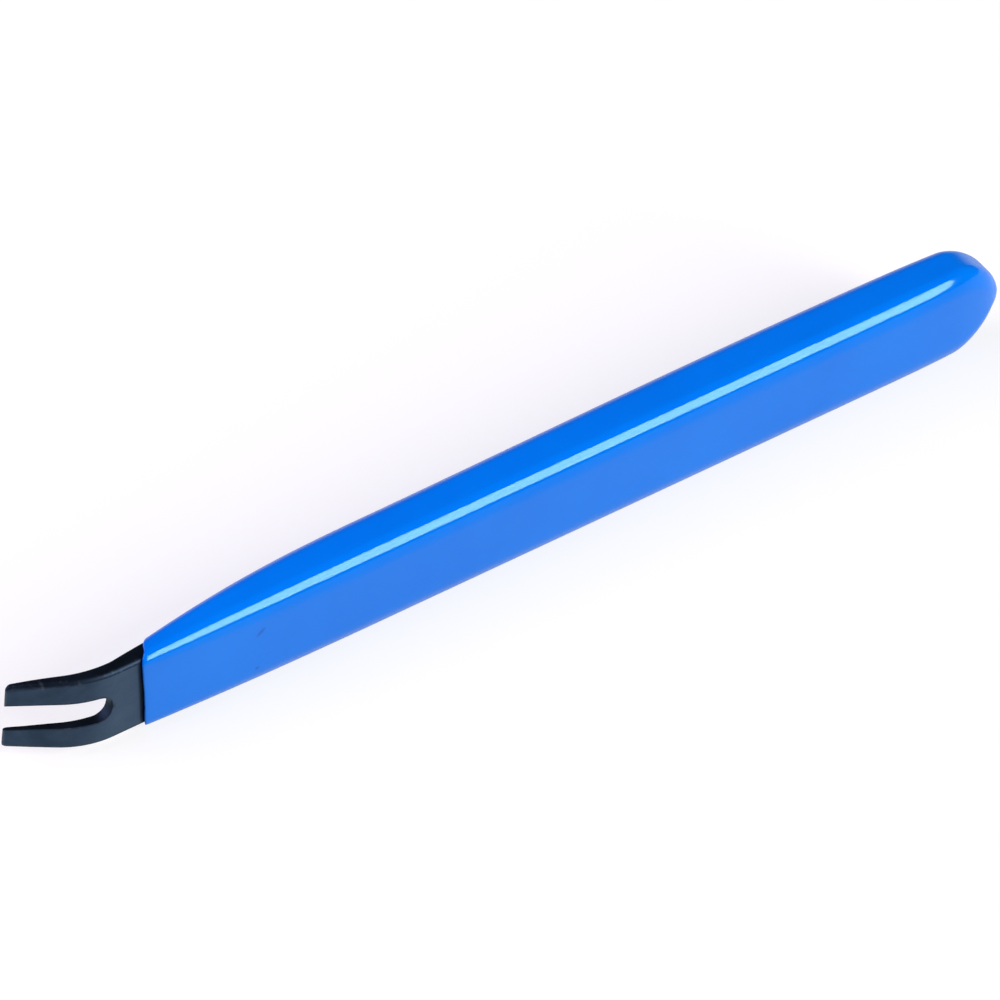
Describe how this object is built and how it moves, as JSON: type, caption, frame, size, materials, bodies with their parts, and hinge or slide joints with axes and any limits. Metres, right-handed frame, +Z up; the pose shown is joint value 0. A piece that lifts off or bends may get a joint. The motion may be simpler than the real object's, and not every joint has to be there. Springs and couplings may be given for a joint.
{
  "type": "trim removal tool",
  "caption": "Flat forged steel lever with a bent, slotted fork at one end and a smooth dipped plastic grip, for prying trim clips out of vehicle panels.",
  "frame": {"origin": "middle of the bounding box's bottom, under the grip, on the surface that the tool stands on", "axes": "+X along the length from the fork's tips to the grip's far end, -Y out of the flat front face, the tines bending toward +Y, +Z up across the width"},
  "size_m": [0.189, 0.01, 0.0184],
  "materials": {
    "blackened_steel": "forged steel with a black oxide finish, satin",
    "dipped_plastic": "glossy soft plastic dip coating"
  },
  "bodies": {
    "root": {"forked_blade": "blackened_steel", "dipped_grip": "dipped_plastic"}
  },
  "joints": []
}
